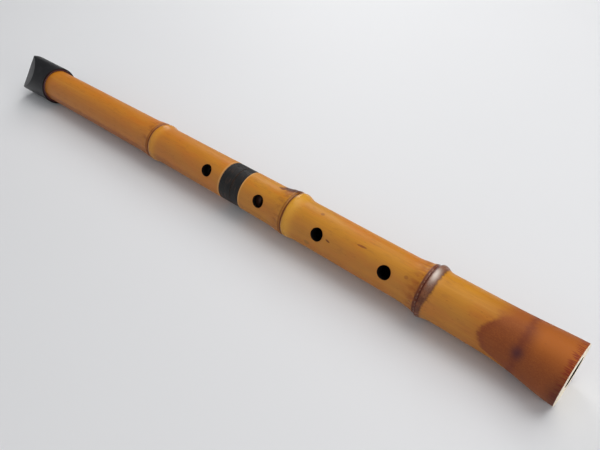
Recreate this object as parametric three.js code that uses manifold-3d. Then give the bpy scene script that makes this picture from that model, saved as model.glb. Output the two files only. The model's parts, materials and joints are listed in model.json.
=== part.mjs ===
// A lying shakuhachi: two bamboo culm sections joined by a tenon, and a slanted cap over the mouth.
// Millimetres, +Z up. A station is a distance from the root end towards the mouth, so x is minus it.
// A roll is an angle about the culm from straight up, turning towards the front of the picture (-Y).
import * as THREE from 'three';
import { mergeVertices } from 'three/addons/utils/BufferGeometryUtils.js';
import Module from 'manifold-3d';

const wasm = await Module();
wasm.setup();
const { degToRad, lerp, smoothstep } = THREE.MathUtils;

// Whole flute
const BARE_LENGTH = 542;
const BOW = 1.3;
const BOW_ROLL = degToRad(-50.8);
const HOLE_ROLL = degToRad(56.6);
const UPPER_TWIST = degToRad(-6);
const SIDES = 24;
const FIT_GAP = 0.3;

// Culm: the radius of each internode at its root side and at its mouth side
const NODE_3_STATION = 93.5;
const NODE_2_STATION = 206.2;
const NODE_1_STATION = 352.9;
const ROOT_RADIUS = 17.45;
const ROOT_RADIUS_AT_NODE_3 = 16.85;
const LOW_RADIUS_AT_NODE_3 = 15.7;
const LOW_RADIUS_AT_NODE_2 = 15.75;
const MIDDLE_RADIUS_AT_NODE_2 = 15.55;
const MIDDLE_RADIUS_AT_NODE_1 = 15.05;
const TOP_RADIUS_AT_NODE_1 = 14.95;
const MOUTH_RADIUS = 14.45;
const NODE_BLEND = 7;
const NODE_REACH = 16;
const RING_STEP = 27;
const RING_APART = 0.3;

// Node rings: a swelling on the root side of the sheath scar, the scar, and a lip and a foot mouthwards
const NODE_3_SWELL = 2;
const NODE_2_SWELL = 2;
const NODE_1_SWELL = 1.2;
const NODE_3_SWELL_SETBACK = 1.8;
const NODE_2_SWELL_SETBACK = 3.2;
const NODE_1_SWELL_SETBACK = 3.2;
const NODE_3_SWELL_WIDTH = 2.8;
const NODE_2_SWELL_WIDTH = 3.7;
const NODE_1_SWELL_WIDTH = 3.5;
const NODE_3_FOOT = 0.9;
const NODE_2_FOOT = 1;
const NODE_1_FOOT = 0.7;
const FOOT_SETBACK = 5.5;
const FOOT_WIDTH = 5.5;
const SCAR_DEPTH = 0.6;
const SCAR_WIDTH = 0.9;
const LIP_HEIGHT = 0.45;
const LIP_SETBACK = 2.4;
const LIP_WIDTH = 1.5;

// Root end: a lopsided flare, worn flat where it lies and cut a little out of square
const FLARE_LENGTH = 50;
const FLARE_HEIGHT = 3.2;
const FLARE_LEAN = 2;
const LEAN_ROLL = degToRad(129.2);
const FLARE_POWER = 1.3;
const ROOT_SOLE_DROP = 21;
const ROOT_CUT_ANGLE = degToRad(3.5);
const ROOT_CUT_ROLL = degToRad(72);
const EDGE_BREAK = 0.3;

// Bore and its lacquered lining
const BORE_ROOT_RADIUS = 9;
const BORE_THROAT_RADIUS = 7.75;
const BORE_JOINT_RADIUS = 8.7;
const BORE_MOUTH_RADIUS = 10;
const THROAT_STATION = 85;
const LINING_WALL = 1;
const LINING_SETBACK = 0.5;
const BORE_RING_STEP = 45;

// Finger holes and the thumb hole
const FIRST_HOLE_STATION = 120.6;
const HOLE_PITCH = 54.8;
const HOLE_RADIUS = 4.85;
const HOLE_SIDES = 24;
const FRONT_HOLES = 4;
const THUMB_STEP_SHARE = 0.5;

// Joint: the tenon is fixed in the upper section and slides in a socket in the lower one
const SEAM_STATION = 257.6;
const TENON_HOLD = 28;
const TENON_REACH = 27;
const TENON_CHAMFER = 0.5;
const SOCKET_WALL = 1;
const SEAT_WALL = 1.45;
const SOCKET_END_ROOM = 1;

// Rattan bindings, wound into seats on both sides of the seam
const LOWER_BINDING_WIDTH = 8.2;
const UPPER_BINDING_WIDTH = 11.8;
const SEAT_DEPTH = 1.45;
const STRAND_WIDTH = 1.45;
const STRAND_HEIGHT = 1.1;
const STRAND_FREE_GAP = 0.5;
const LOOP_STEPS = 24;

// Blowing edge, cut on the front of the mouth end, and its horn inlay
const EDGE_ANGLE = degToRad(27);
const EDGE_CHORD_DISTANCE = 6.8;
const INLAY_EDGE_WIDTH = 15;
const INLAY_BACK_WIDTH = 9.5;
const INLAY_START = 1.5;
const INLAY_LENGTH = 13;
const INLAY_DEPTH = 2.2;

// Mouth cap and its felt lining
const CAP_WALL = 1.6;
const CAP_FACET_WALL = 1.2;
const CAP_END_WALL = 2.4;
const CAP_OVERHANG = 6;
const CAP_REACH = 36.6;
const CAP_EDGE_BREAK = 0.9;
const CAP_FACET_ANGLE = degToRad(23.5);
const CAP_FACET_CHORD_DISTANCE = 6.9;
const FELT_SETBACK = 1.5;
const FELT_LENGTH = 13;
const FELT_THICKNESS = 1;

const CUT_SPAN = 90;

// Values that follow from the sizes above
const NODES = [
  {
    station: NODE_3_STATION,
    swell: NODE_3_SWELL,
    setback: NODE_3_SWELL_SETBACK,
    width: NODE_3_SWELL_WIDTH,
    foot: NODE_3_FOOT,
  },
  {
    station: NODE_2_STATION,
    swell: NODE_2_SWELL,
    setback: NODE_2_SWELL_SETBACK,
    width: NODE_2_SWELL_WIDTH,
    foot: NODE_2_FOOT,
  },
  {
    station: NODE_1_STATION,
    swell: NODE_1_SWELL,
    setback: NODE_1_SWELL_SETBACK,
    width: NODE_1_SWELL_WIDTH,
    foot: NODE_1_FOOT,
  },
];
const INTERNODES = [
  { from: 0, to: NODE_3_STATION, radii: [ROOT_RADIUS, ROOT_RADIUS_AT_NODE_3] },
  { from: NODE_3_STATION, to: NODE_2_STATION, radii: [LOW_RADIUS_AT_NODE_3, LOW_RADIUS_AT_NODE_2] },
  { from: NODE_2_STATION, to: NODE_1_STATION, radii: [MIDDLE_RADIUS_AT_NODE_2, MIDDLE_RADIUS_AT_NODE_1] },
  { from: NODE_1_STATION, to: BARE_LENGTH, radii: [TOP_RADIUS_AT_NODE_1, MOUTH_RADIUS] },
];
const NODE_RING_SHARES = [-1, -0.7, -0.52, -0.38, -0.25, -0.15, -0.07, 0, 0.07, 0.16, 0.28, 0.45, 0.8];
const FLARE_RING_SHARES = [0.1, 0.22, 0.36, 0.52, 0.68, 0.84, 1];
const STRAND_SECTION_SHARES = [[1, 0], [0.6, -1], [-0.6, -1], [-1, 0], [-0.6, 1], [0.6, 1]];
const UPPER_HOLE_ROLL = HOLE_ROLL + UPPER_TWIST;
const LOWER_END = SEAM_STATION - FIT_GAP / 2;
const UPPER_START = SEAM_STATION + FIT_GAP / 2;
const LOWER_SEAT_START = SEAM_STATION - LOWER_BINDING_WIDTH;
const UPPER_SEAT_END = SEAM_STATION + UPPER_BINDING_WIDTH;
const TENON_TOP = SEAM_STATION + TENON_HOLD;
const TENON_TIP = SEAM_STATION - TENON_REACH;
const SOCKET_FLOOR = TENON_TIP - SOCKET_END_ROOM;
const SEAT_RADIUS = barrelRadius(SEAM_STATION) - SEAT_DEPTH;
const SOCKET_SEAT_RADIUS = SEAT_RADIUS - SEAT_WALL;
const SOCKET_RADIUS = SOCKET_SEAT_RADIUS - FIT_GAP - SOCKET_WALL;
const TENON_RADIUS = SOCKET_RADIUS - FIT_GAP;
const STRAND_CENTRE_RADIUS = SEAT_RADIUS + FIT_GAP + STRAND_HEIGHT / 2;
const CAP_RIM_CULM_RADIUS = barrelRadius(BARE_LENGTH - CAP_REACH);
const FELT_RADIUS = CAP_RIM_CULM_RADIUS + FIT_GAP + FELT_THICKNESS;
const CAP_RADIUS = FELT_RADIUS + FIT_GAP + CAP_WALL;
const CAP_DROP = CAP_RADIUS * Math.cos(Math.PI / SIDES);
const REST_TILT = Math.atan2(ROOT_SOLE_DROP - CAP_DROP, BARE_LENGTH + CAP_OVERHANG);

// Finishes

const bamboo = finish(0xc8893e, 0.38);
const lacquer = finish(0x2a0f0b, 0.3);
const tenonWood = finish(0x3a1d12, 0.4);
const rattan = finish(0x191616, 0.45);
const horn = finish(0x1c1612, 0.25);
const capBlack = finish(0x1d1c20, 0.42);
const felt = finish(0x4a1f24, 0.95);

function finish(color, roughness) {
  return new THREE.MeshStandardMaterial({ color, roughness, metalness: 0 });
}

// Centre line and radii

// Unit vector across the culm at a roll.
function rollDirection(roll) {
  return new THREE.Vector3(0, -Math.sin(roll), Math.cos(roll));
}

// Centre of the culm at a station: a shallow parabola, level with the ends at both ends.
function centreLine(station) {
  const share = station / BARE_LENGTH;
  const rise = BOW * (1 - (2 * share - 1) ** 2);
  return rollDirection(BOW_ROLL).multiplyScalar(rise).setX(-station);
}

// Radius of the culm without its node rings and its root flare.
function barrelRadius(station) {
  return INTERNODES.reduce((radius, { from, to, radii }) => {
    const own = lerp(radii[0], radii[1], (station - from) / (to - from));
    const share = from === 0 ? 1 : smoothstep(station, from - NODE_BLEND, from + NODE_BLEND);
    return lerp(radius, own, share);
  }, 0);
}

// Height of a node ring's relief at a station.
function nodeRelief(node, station) {
  const past = station - node.station;
  const bell = (centre, width) => Math.exp(-(((past - centre) / width) ** 2));
  const swell = node.swell * bell(-node.setback, node.width);
  const lip = LIP_HEIGHT * bell(LIP_SETBACK, LIP_WIDTH);
  const foot = node.foot * bell(FOOT_SETBACK, FOOT_WIDTH);
  return swell + lip + foot - SCAR_DEPTH * bell(0, SCAR_WIDTH);
}

// Height of the root flare at a station and roll.
function flareHeight(station, roll) {
  const share = Math.max(0, 1 - station / FLARE_LENGTH) ** FLARE_POWER;
  return smoothstep(share, 0, 1) * (FLARE_HEIGHT + FLARE_LEAN * Math.cos(roll - LEAN_ROLL));
}

// Outside radius of the culm.
function culmRadius(station, roll) {
  const relief = NODES.reduce((sum, node) => sum + nodeRelief(node, station), 0);
  return barrelRadius(station) + relief + flareHeight(station, roll);
}

// Radius of the finished bore: it narrows from the mouth to the throat and opens again at the root.
function boreRadius(station) {
  if (station < THROAT_STATION) {
    return lerp(BORE_ROOT_RADIUS, BORE_THROAT_RADIUS, smoothstep(station, 0, THROAT_STATION));
  }
  if (station < SEAM_STATION) {
    return lerp(BORE_THROAT_RADIUS, BORE_JOINT_RADIUS, smoothstep(station, THROAT_STATION, TENON_TIP));
  }
  return lerp(BORE_JOINT_RADIUS, BORE_MOUTH_RADIUS, smoothstep(station, TENON_TOP, BARE_LENGTH));
}

// Radius of the hole through the bare bamboo, which the lining fills.
function culmBoreRadius(station) {
  return boreRadius(station) + LINING_WALL + FIT_GAP;
}

// Solids

// How far a point is shifted mouthwards, so that the root end lies in its slanted cut.
function rootSlant(station, roll, reach) {
  const fade = Math.max(0, 1 - station / FLARE_LENGTH);
  return fade * reach * Math.tan(ROOT_CUT_ANGLE) * Math.cos(roll - ROOT_CUT_ROLL);
}

// One ring of points round the centre line; radius is a number or a function of station and roll.
function ringPoints({ station, radius }) {
  return Array.from({ length: SIDES }, (_, side) => {
    const roll = ((side + 0.5) / SIDES) * 2 * Math.PI;
    const reach = typeof radius === 'function' ? radius(station, roll) : radius;
    const point = centreLine(station).addScaledVector(rollDirection(roll), reach);
    return point.setX(point.x - rootSlant(station, roll, reach));
  });
}

// Closed skin through a list of rings; capped at both ends, or joined end to start.
function skin(rings, endToStart) {
  const count = rings[0].length;
  const positions = rings.flat().flatMap((point) => point.toArray());
  const index = [];
  const last = endToStart ? rings.length : rings.length - 1;
  for (let ring = 0; ring < last; ring += 1) {
    const here = ring * count;
    const next = ((ring + 1) % rings.length) * count;
    for (let side = 0; side < count; side += 1) {
      const beside = (side + 1) % count;
      index.push(here + side, next + side, next + beside);
      index.push(here + side, next + beside, here + beside);
    }
  }
  if (!endToStart) {
    const end = last * count;
    for (let side = 1; side < count - 1; side += 1) {
      index.push(0, side, side + 1);
      index.push(end, end + side + 1, end + side);
    }
  }
  const geometry = new THREE.BufferGeometry();
  geometry.setAttribute('position', new THREE.Float32BufferAttribute(positions, 3));
  geometry.setIndex(index);
  return geometry;
}

// Tube wall that follows the centre line: its outline runs up the outside and back down the inside.
function culmWall(outline) {
  return skin(outline.map(ringPoints), true);
}

// Closed mesh as a solid that can be joined and cut.
function toSolid(geometry) {
  const plain = geometry.clone();
  plain.deleteAttribute('normal');
  plain.deleteAttribute('uv');
  const merged = mergeVertices(plain);
  const vertProperties = Float32Array.from(merged.attributes.position.array);
  const corners = [...merged.index.array];
  const triangles = corners.flatMap((_, at) => (at % 3 === 0 ? [corners.slice(at, at + 3)] : []));
  const whole = triangles.filter((triangle) => new Set(triangle).size === 3);
  const triVerts = Uint32Array.from(whole.flat());
  return new wasm.Manifold(new wasm.Mesh({ numProp: 3, vertProperties, triVerts }));
}

// Solid back as a geometry.
function toGeometry(solid) {
  const mesh = solid.getMesh();
  const geometry = new THREE.BufferGeometry();
  geometry.setAttribute('position', new THREE.BufferAttribute(Float32Array.from(mesh.vertProperties), 3));
  geometry.setIndex(new THREE.BufferAttribute(Uint32Array.from(mesh.triVerts), 1));
  return geometry;
}

// Part turned on a straight axis: profile points are [radius, station], from axis to axis or closed.
function turned(profile) {
  const outline = profile[0][0] === 0 ? profile : [...profile, profile[0]];
  const points = outline.map(([radius, station]) => new THREE.Vector2(radius, station));
  const geometry = new THREE.LatheGeometry(points, SIDES, Math.PI / SIDES);
  return geometry.rotateZ(Math.PI / 2);
}

// Finger-hole cutter: from the centre line out through the wall.
function holeCutter(station, roll) {
  const out = rollDirection(roll);
  const turn = new THREE.Quaternion().setFromUnitVectors(new THREE.Vector3(0, 1, 0), out);
  const geometry = new THREE.CylinderGeometry(HOLE_RADIUS, HOLE_RADIUS, CUT_SPAN, HOLE_SIDES);
  geometry.translate(0, CUT_SPAN / 2, 0).applyQuaternion(turn);
  const place = centreLine(station);
  return toSolid(geometry.translate(place.x, place.y, place.z));
}

// Axes of a slanted facet on the front: x runs down the facet to the root, z points out of it.
function facetFrame(centre, roll, angle, chordDistance) {
  const front = rollDirection(roll);
  const rootwards = new THREE.Vector3(1, 0, 0);
  const down = rootwards.clone().multiplyScalar(Math.cos(angle)).addScaledVector(front, Math.sin(angle));
  const out = front.clone().multiplyScalar(Math.cos(angle)).addScaledVector(rootwards, -Math.sin(angle));
  const across = out.clone().cross(down);
  const place = centre.clone().addScaledVector(front, chordDistance);
  return new THREE.Matrix4().makeBasis(down, across, out).setPosition(place);
}

// Everything in front of a slanted facet; inset moves the facet's plane into the part.
function facetCutter(frame, inset) {
  const block = new THREE.BoxGeometry(CUT_SPAN, CUT_SPAN, CUT_SPAN);
  return toSolid(block.translate(0, 0, CUT_SPAN / 2 - inset).applyMatrix4(frame));
}

// Even stations between two ends, both ends included.
function evenStations(from, to, step) {
  const count = Math.max(1, Math.round((to - from) / step));
  return Array.from({ length: count + 1 }, (_, place) => lerp(from, to, place / count));
}

// Stations of the rings on the outside of a culm section: closer at the nodes and on the flare.
function outsideStations(from, to) {
  const close = NODES.flatMap(({ station }) => NODE_RING_SHARES.map((share) => station + share * NODE_REACH));
  const flare = FLARE_RING_SHARES.map((share) => share * FLARE_LENGTH);
  const free = evenStations(from, to, RING_STEP).filter((station) =>
    NODES.every((node) => Math.abs(station - node.station) > NODE_REACH));
  const between = [...close, ...flare, ...free].filter((station) => station > from && station < to);
  const sorted = [from, ...between.sort((a, b) => a - b), to];
  return sorted.filter((station, place) => place === 0 || station - sorted[place - 1] > RING_APART);
}

// Outline entries for a run of stations with one radius rule.
function along(stations, radius) {
  return stations.map((station) => ({ station, radius }));
}

// Station and roll of each hole through a section.
const frontHoles = Array.from({ length: FRONT_HOLES }, (_, place) => {
  const station = FIRST_HOLE_STATION + place * HOLE_PITCH;
  return { station, roll: station < SEAM_STATION ? HOLE_ROLL : UPPER_HOLE_ROLL };
});
const thumbHole = {
  station: frontHoles.at(-1).station + THUMB_STEP_SHARE * HOLE_PITCH,
  roll: UPPER_HOLE_ROLL + Math.PI,
};
const holes = [...frontHoles, thumbHole].map((hole) => {
  return { ...hole, cutter: holeCutter(hole.station, hole.roll) };
});

// Cuts the holes that lie between two stations.
function drill(solid, from, to) {
  return holes
    .filter(({ station }) => station > from && station < to)
    .reduce((cut, { cutter }) => cut.subtract(cutter), solid);
}

// Pieces of the lower section

function makeLowerCulm() {
  const brokenEdge = (station, roll) => culmRadius(station, roll) - EDGE_BREAK;
  const outline = [
    { station: 0, radius: brokenEdge },
    ...along(outsideStations(EDGE_BREAK, LOWER_SEAT_START), culmRadius),
    ...along([LOWER_SEAT_START, LOWER_END], SEAT_RADIUS),
    ...along([LOWER_END, SOCKET_FLOOR], SOCKET_SEAT_RADIUS),
    ...along(evenStations(0, SOCKET_FLOOR, BORE_RING_STEP).reverse(), culmBoreRadius),
  ];
  const floor = new THREE.BoxGeometry(CUT_SPAN, CUT_SPAN, CUT_SPAN);
  floor.translate(0, 0, -CUT_SPAN / 2).rotateY(REST_TILT).translate(0, 0, -ROOT_SOLE_DROP);
  return toGeometry(drill(toSolid(culmWall(outline)).subtract(toSolid(floor)), 0, LOWER_END));
}

function makeLowerLining() {
  const top = SOCKET_FLOOR - FIT_GAP;
  const stations = evenStations(LINING_SETBACK, top, BORE_RING_STEP);
  const outside = (station) => culmBoreRadius(station) - FIT_GAP;
  const outline = [...along(stations, outside), ...along(stations.toReversed(), boreRadius)];
  return toGeometry(drill(toSolid(culmWall(outline)), 0, top));
}

function makeSocket() {
  const outline = [
    ...along([SOCKET_FLOOR + FIT_GAP, LOWER_END], SOCKET_RADIUS + SOCKET_WALL),
    ...along([LOWER_END, SOCKET_FLOOR + FIT_GAP], SOCKET_RADIUS),
  ];
  return toGeometry(drill(toSolid(culmWall(outline)), SOCKET_FLOOR - HOLE_RADIUS, LOWER_END));
}

// Pieces of the upper section

const mouthFacet = facetFrame(centreLine(BARE_LENGTH), UPPER_HOLE_ROLL, EDGE_ANGLE, EDGE_CHORD_DISTANCE);

// Prism of the horn inlay in the blowing edge, grown all round to cut its pocket.
function inlayPrism(grow) {
  const shape = new THREE.Shape();
  const start = INLAY_START - grow;
  const end = INLAY_START + INLAY_LENGTH + grow;
  shape.moveTo(start, -INLAY_EDGE_WIDTH / 2 - grow);
  shape.lineTo(end, -INLAY_BACK_WIDTH / 2 - grow);
  shape.lineTo(end, INLAY_BACK_WIDTH / 2 + grow);
  shape.lineTo(start, INLAY_EDGE_WIDTH / 2 + grow);
  const depth = INLAY_DEPTH + grow;
  const geometry = new THREE.ExtrudeGeometry(shape, { depth: depth + CUT_SPAN, bevelEnabled: false });
  return toSolid(geometry.translate(0, 0, -depth).applyMatrix4(mouthFacet));
}

function makeUpperCulm() {
  const outline = [
    ...along([UPPER_START, UPPER_SEAT_END], SEAT_RADIUS),
    ...along(outsideStations(UPPER_SEAT_END, BARE_LENGTH), culmRadius),
    ...along(evenStations(TENON_TOP + FIT_GAP, BARE_LENGTH, BORE_RING_STEP).reverse(), culmBoreRadius),
    ...along([TENON_TOP + FIT_GAP, UPPER_START], TENON_RADIUS + FIT_GAP),
  ];
  const culm = toSolid(culmWall(outline)).subtract(facetCutter(mouthFacet, 0)).subtract(inlayPrism(FIT_GAP));
  return toGeometry(drill(culm, UPPER_START, BARE_LENGTH));
}

function makeUpperLining() {
  const start = TENON_TOP + 2 * FIT_GAP;
  const stations = evenStations(start, BARE_LENGTH, BORE_RING_STEP);
  const outside = (station) => culmBoreRadius(station) - FIT_GAP;
  const outline = [...along(stations, outside), ...along(stations.toReversed(), boreRadius)];
  const tube = toSolid(culmWall(outline)).subtract(facetCutter(mouthFacet, 0)).subtract(inlayPrism(FIT_GAP));
  return toGeometry(drill(tube, start, BARE_LENGTH));
}

function makeTenon() {
  const centre = centreLine(SEAM_STATION);
  const tube = turned([
    [BORE_JOINT_RADIUS, TENON_TIP],
    [TENON_RADIUS - TENON_CHAMFER, TENON_TIP],
    [TENON_RADIUS, TENON_TIP + TENON_CHAMFER],
    [TENON_RADIUS, TENON_TOP],
    [BORE_JOINT_RADIUS, TENON_TOP],
  ]);
  const tenon = toSolid(tube.translate(0, centre.y, centre.z));
  return toGeometry(drill(tenon, TENON_TIP, TENON_TOP + HOLE_RADIUS));
}

function makeInlay() {
  const stations = evenStations(BARE_LENGTH - CAP_REACH, BARE_LENGTH, BORE_RING_STEP);
  const outline = [...along(stations, culmRadius), ...along(stations.toReversed(), boreRadius)];
  const wall = toSolid(culmWall(outline));
  return toGeometry(wall.intersect(inlayPrism(0)).subtract(facetCutter(mouthFacet, 0)));
}

// Bindings

// One strand wound as many times as its seat holds, from one station to another.
function makeBinding(from, to) {
  const room = to - from - STRAND_WIDTH;
  const turns = Math.max(1, Math.floor(room / (STRAND_WIDTH + STRAND_FREE_GAP)));
  const pitch = room / turns;
  const steps = turns * LOOP_STEPS;
  const middle = centreLine(SEAM_STATION);
  const rings = Array.from({ length: steps + 1 }, (_, step) => {
    const roll = HOLE_ROLL + Math.PI + (step / LOOP_STEPS) * 2 * Math.PI;
    const out = rollDirection(roll);
    const travel = from + STRAND_WIDTH / 2 + (step / LOOP_STEPS) * pitch;
    const centre = new THREE.Vector3(-travel, middle.y, middle.z);
    centre.addScaledVector(out, STRAND_CENTRE_RADIUS);
    return STRAND_SECTION_SHARES.map(([sideways, outwards]) => centre.clone()
      .addScaledVector(out, (outwards * STRAND_HEIGHT) / 2)
      .setX(centre.x + (sideways * STRAND_WIDTH) / 2));
  });
  return { geometry: skin(rings, false), rings };
}

// Least free gap between the turns of a wound strand, measured between its points half a turn or more apart.
function leastGap(rings) {
  const points = rings.map((ring, place) => ring.map((point) => ({ point, place }))).flat();
  let least = Infinity;
  for (const one of points) {
    for (const other of points) {
      if (other.place - one.place >= LOOP_STEPS / 2) {
        least = Math.min(least, one.point.distanceTo(other.point));
      }
    }
  }
  return least;
}

// Pieces of the mouth cap, in a frame whose x is minus the distance past the culm's mouth

const capFacet = facetFrame(
  new THREE.Vector3(-CAP_OVERHANG, 0, 0), UPPER_HOLE_ROLL, CAP_FACET_ANGLE, CAP_FACET_CHORD_DISTANCE);

function makeCap() {
  const outside = turned([
    [0, -CAP_REACH],
    [CAP_RADIUS, -CAP_REACH],
    [CAP_RADIUS, CAP_OVERHANG - CAP_EDGE_BREAK],
    [CAP_RADIUS - CAP_EDGE_BREAK, CAP_OVERHANG],
    [0, CAP_OVERHANG],
  ]);
  const inside = turned([
    [0, -CUT_SPAN],
    [CAP_RADIUS - CAP_WALL, -CUT_SPAN],
    [CAP_RADIUS - CAP_WALL, CAP_OVERHANG - CAP_END_WALL],
    [0, CAP_OVERHANG - CAP_END_WALL],
  ]);
  const cavity = toSolid(inside).subtract(facetCutter(capFacet, CAP_FACET_WALL));
  return toGeometry(toSolid(outside).subtract(facetCutter(capFacet, 0)).subtract(cavity));
}

function makeCapLining() {
  const inner = FELT_RADIUS - FELT_THICKNESS;
  const start = FELT_SETBACK - CAP_REACH;
  return turned([
    [inner, start],
    [FELT_RADIUS, start],
    [FELT_RADIUS, start + FELT_LENGTH],
    [inner, start + FELT_LENGTH],
  ]);
}

// Assembly

function piece(name, geometry, material) {
  const mesh = new THREE.Mesh(geometry, material);
  mesh.name = name;
  return mesh;
}

const lowerBinding = makeBinding(LOWER_SEAT_START + FIT_GAP, LOWER_END);
const upperBinding = makeBinding(UPPER_START, UPPER_SEAT_END - FIT_GAP);
for (const [name, { rings }] of Object.entries({ lowerBinding, upperBinding })) {
  console.log(`${name}: least gap between turns ${leastGap(rings).toFixed(2)} mm`);
}

const lowerSection = new THREE.Group();
lowerSection.add(
  piece('lower_culm', makeLowerCulm(), bamboo),
  piece('lower_bore_lining', makeLowerLining(), lacquer),
  piece('joint_socket', makeSocket(), lacquer),
  piece('lower_joint_binding', lowerBinding.geometry, rattan),
);

const upperSection = new THREE.Group();
upperSection.add(
  piece('upper_culm', makeUpperCulm(), bamboo),
  piece('upper_bore_lining', makeUpperLining(), lacquer),
  piece('joint_tenon', makeTenon(), tenonWood),
  piece('upper_joint_binding', upperBinding.geometry, rattan),
  piece('blowing_edge_inlay', makeInlay(), horn),
);

const mouthCap = new THREE.Group();
const mouthwards = rollDirection(BOW_ROLL).multiplyScalar((-4 * BOW) / BARE_LENGTH).setX(-1).normalize();
mouthCap.position.copy(centreLine(BARE_LENGTH));
mouthCap.quaternion.setFromUnitVectors(new THREE.Vector3(-1, 0, 0), mouthwards);
mouthCap.add(
  piece('mouth_cap', makeCap(), capBlack),
  piece('cap_lining', makeCapLining(), felt),
);
upperSection.add(mouthCap);

const flute = new THREE.Group();
flute.rotation.y = -REST_TILT;
flute.add(lowerSection, upperSection);

const shakuhachi = new THREE.Group();
shakuhachi.add(flute);
const extent = new THREE.Box3().setFromObject(shakuhachi, true);
const middle = extent.getCenter(new THREE.Vector3());
flute.position.set(-middle.x, -middle.y, -extent.min.z);

export default shakuhachi;
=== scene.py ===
"""A lying shakuhachi: bamboo culm, tenon joint, wound bindings, blowing edge and mouth cap.

A station is a distance from the root end towards the mouth. A roll is an angle in degrees about
the culm, from straight up and turning towards the front of the picture. Sizes are millimetres in
the flute's own frame, whose x is minus the station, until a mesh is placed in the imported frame.
"""

import json
import logging
import math
from dataclasses import dataclass, field
from enum import Enum
from typing import Callable, Sequence

import bmesh
import bpy
from mathutils import Matrix, Vector, noise


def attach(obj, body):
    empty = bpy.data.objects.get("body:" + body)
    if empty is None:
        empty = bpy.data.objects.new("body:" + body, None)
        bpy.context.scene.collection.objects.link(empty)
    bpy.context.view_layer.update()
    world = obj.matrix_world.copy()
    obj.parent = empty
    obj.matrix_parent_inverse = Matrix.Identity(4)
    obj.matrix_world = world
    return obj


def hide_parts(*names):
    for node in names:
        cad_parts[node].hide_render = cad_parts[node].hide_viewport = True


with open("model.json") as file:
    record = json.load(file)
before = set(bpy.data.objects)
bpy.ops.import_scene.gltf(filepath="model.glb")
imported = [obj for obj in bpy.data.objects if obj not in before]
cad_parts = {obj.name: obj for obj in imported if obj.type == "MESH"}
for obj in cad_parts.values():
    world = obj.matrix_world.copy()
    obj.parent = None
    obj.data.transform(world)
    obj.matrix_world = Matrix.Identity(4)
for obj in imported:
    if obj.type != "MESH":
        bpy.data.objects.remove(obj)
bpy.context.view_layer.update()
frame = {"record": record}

logging.basicConfig(level=logging.INFO, format="%(message)s")
LOG = logging.getLogger("shakuhachi")

MM = 0.001
TURN = 2 * math.pi
WELD = 1e-4
BEYOND = 99.0

Colour = tuple[float, float, float]
Outline = Sequence[tuple[float, float]]
Socket = bpy.types.NodeSocket


def srgb(red: int, green: int, blue: int) -> Colour:
    """Returns a picture colour, 0 to 255 a channel, as the linear colour that a shader takes."""
    def linear(channel: int) -> float:
        """Returns one linear channel."""
        share = channel / 255
        return share / 12.92 if share <= 0.04045 else ((share + 0.055) / 1.055) ** 2.4
    return linear(red), linear(green), linear(blue)


def smooth(low: float, high: float, value: float) -> float:
    """Returns a smooth step from 0 at low to 1 at high."""
    share = min(1.0, max(0.0, (value - low) / (high - low)))
    return share * share * (3 - 2 * share)


def blend(start: float, end: float, share: float) -> float:
    """Returns the value at a share of the way from start to end."""
    return start + (end - start) * share


def bell(past: float, centre: float, width: float) -> float:
    """Returns a bell curve of height 1."""
    return math.exp(-(((past - centre) / width) ** 2))


def outwards(roll: float) -> Vector:
    """Returns the unit vector across the culm at a roll in degrees."""
    turn = math.radians(roll)
    return Vector((0.0, -math.sin(turn), math.cos(turn)))


def even(start: float, end: float, step: float) -> list[float]:
    """Returns even stations from start to end, both included, about a step apart."""
    count = max(1, round(abs(end - start) / step))
    return [blend(start, end, place / count) for place in range(count + 1)]


class Layer(Enum):
    """Which finish a face of the culm shows."""

    SKIN = 0
    CUT = 1
    LACQUER = 2


@dataclass(frozen=True)
class NodeRing:
    """A bamboo node: the swelling on its root side, the sheath scar, and a lip and a foot mouthwards.

    Attributes:
        station: Where the scar lies.
        swell: Height of the swelling.
        setback: Distance from the scar to the top of the swelling, rootwards.
        width: Half-width of the swelling.
        foot: Height of the broad foot on the mouth side.
        lean: Share by which the swelling is higher at the back than at the front.
        wander: How far the scar strays along the culm.
        second: Distance from the scar to the second line, mouthwards.
        yellow: Strength of the clear yellow on the swelling.
        taper: How far the swelling is drawn towards the scar at the front.
        beads: Height of the fine beads along the scar.
        stained: Whether a dark brown stain lies round the scar.
    """

    station: float
    swell: float
    setback: float
    width: float
    foot: float
    lean: float
    wander: float
    second: float
    yellow: float
    taper: float = 0.0
    beads: float = 0.05
    stained: bool = False


@dataclass(frozen=True)
class Internode:
    """A stretch of culm between two nodes, with its radius at the root side and the mouth side."""

    start: float
    end: float
    root_radius: float
    mouth_radius: float


@dataclass(frozen=True)
class Hole:
    """A finger hole or the thumb hole."""

    station: float
    roll: float


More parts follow.
